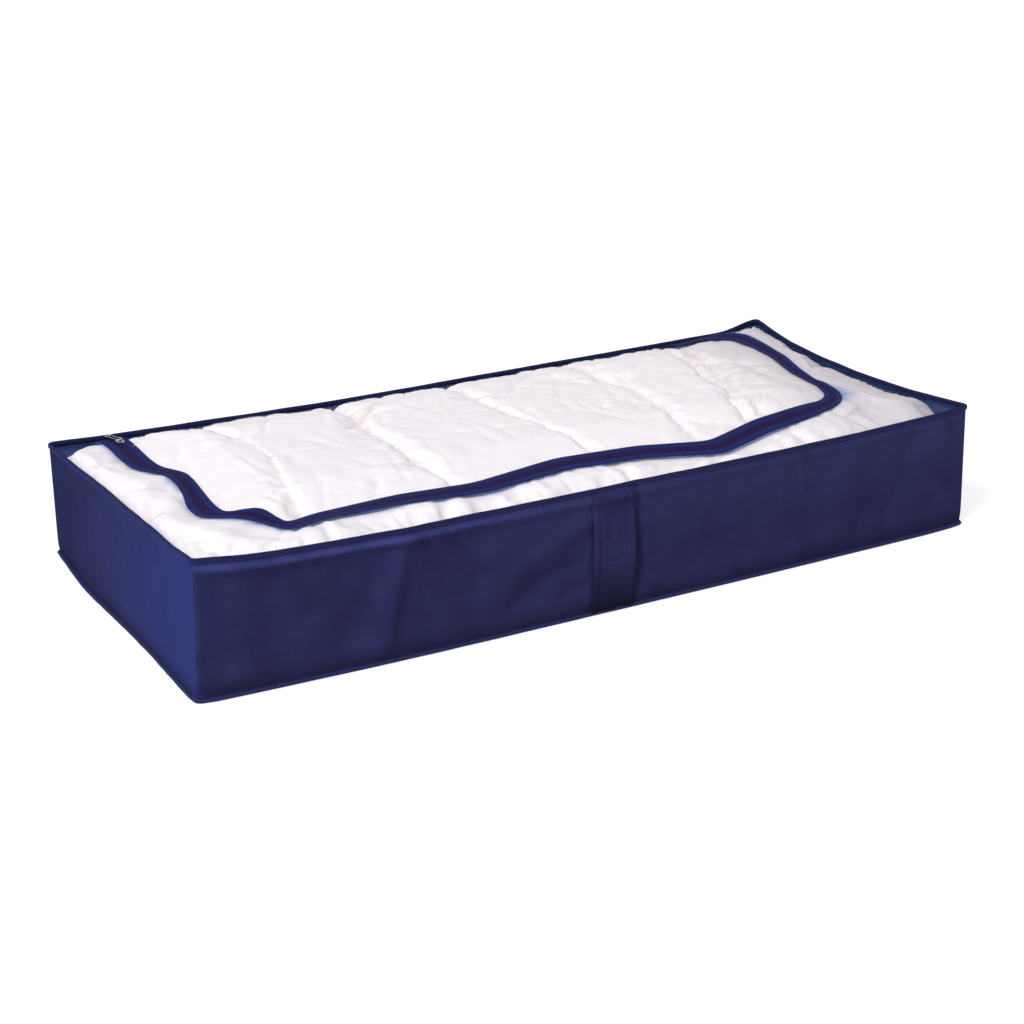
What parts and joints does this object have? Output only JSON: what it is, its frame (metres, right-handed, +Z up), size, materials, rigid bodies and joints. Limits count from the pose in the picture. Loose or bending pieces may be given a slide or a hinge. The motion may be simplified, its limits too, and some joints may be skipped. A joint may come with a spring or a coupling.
{
  "type": "under bed storage box",
  "caption": "Long, low soft storage box of navy non-woven cloth with a clear film top, a zipped window flap and a front pull handle.",
  "frame": {"origin": "middle of the base's underside, on the floor", "axes": "+X along the box, from its left end to its right end as seen from the handle side; -Y is the front wall with the pull handle, +Y is the back wall that the flap folds towards; +Z up"},
  "size_m": [1.03, 0.4504, 0.1734],
  "materials": {
    "cloth": "navy non-woven cloth, matt, softly creased",
    "binding": "dark navy folded binding tape",
    "zip_tape": "navy woven zip tape",
    "zip_teeth": "dark nylon coil",
    "film": "clear soft film",
    "zip_metal": "plated zinc casting"
  },
  "bodies": {
    "box": {"base_panel": "cloth", "front_wall": "cloth", "back_wall": "cloth", "left_wall": "cloth", "right_wall": "cloth", "rim_binding_front": "binding", "rim_binding_back": "binding", "rim_binding_left": "binding", "rim_binding_right": "binding", "floor_binding_front": "binding", "floor_binding_back": "binding", "floor_binding_left": "binding", "floor_binding_right": "binding", "window_margin": "film", "zip_tape_box": "zip_tape", "zip_teeth_box": "zip_teeth", "zip_end_left": "zip_tape", "zip_end_right": "zip_tape", "zip_stop_top": "zip_metal", "zip_stop_bottom": "zip_metal", "handle_end_top": "cloth", "handle_end_bottom": "cloth"},
    "window_flap": {"flap_film": "film", "zip_tape_flap": "zip_tape", "zip_teeth_flap": "zip_teeth"},
    "zip_slider": {"slider_body": "zip_metal", "slider_bridge": "zip_metal"},
    "zip_pull": {"slider_pull": "zip_metal"},
    "handle": {"handle_strap": "cloth"}
  },
  "joints": [
    {"name": "flap_fold", "type": "hinge", "parent": "box", "child": "window_flap", "pos_m": [0, 0.17, 0.158], "axis": [-1, 0, 0], "range_deg": [0, 105]},
    {"name": "slider_travel", "type": "slide", "parent": "box", "child": "zip_slider", "axis": [0, -1, 0], "range_m": [0, 0.27]},
    {"name": "pull_swing", "type": "hinge", "parent": "zip_slider", "child": "zip_pull", "pos_m": [-0.44, 0.19, 0.162], "axis": [1, 0, 0], "range_deg": [0, 105]},
    {"name": "handle_pull", "type": "slide", "parent": "box", "child": "handle", "axis": [0, -1, 0], "range_m": [0, 0.03]}
  ]
}
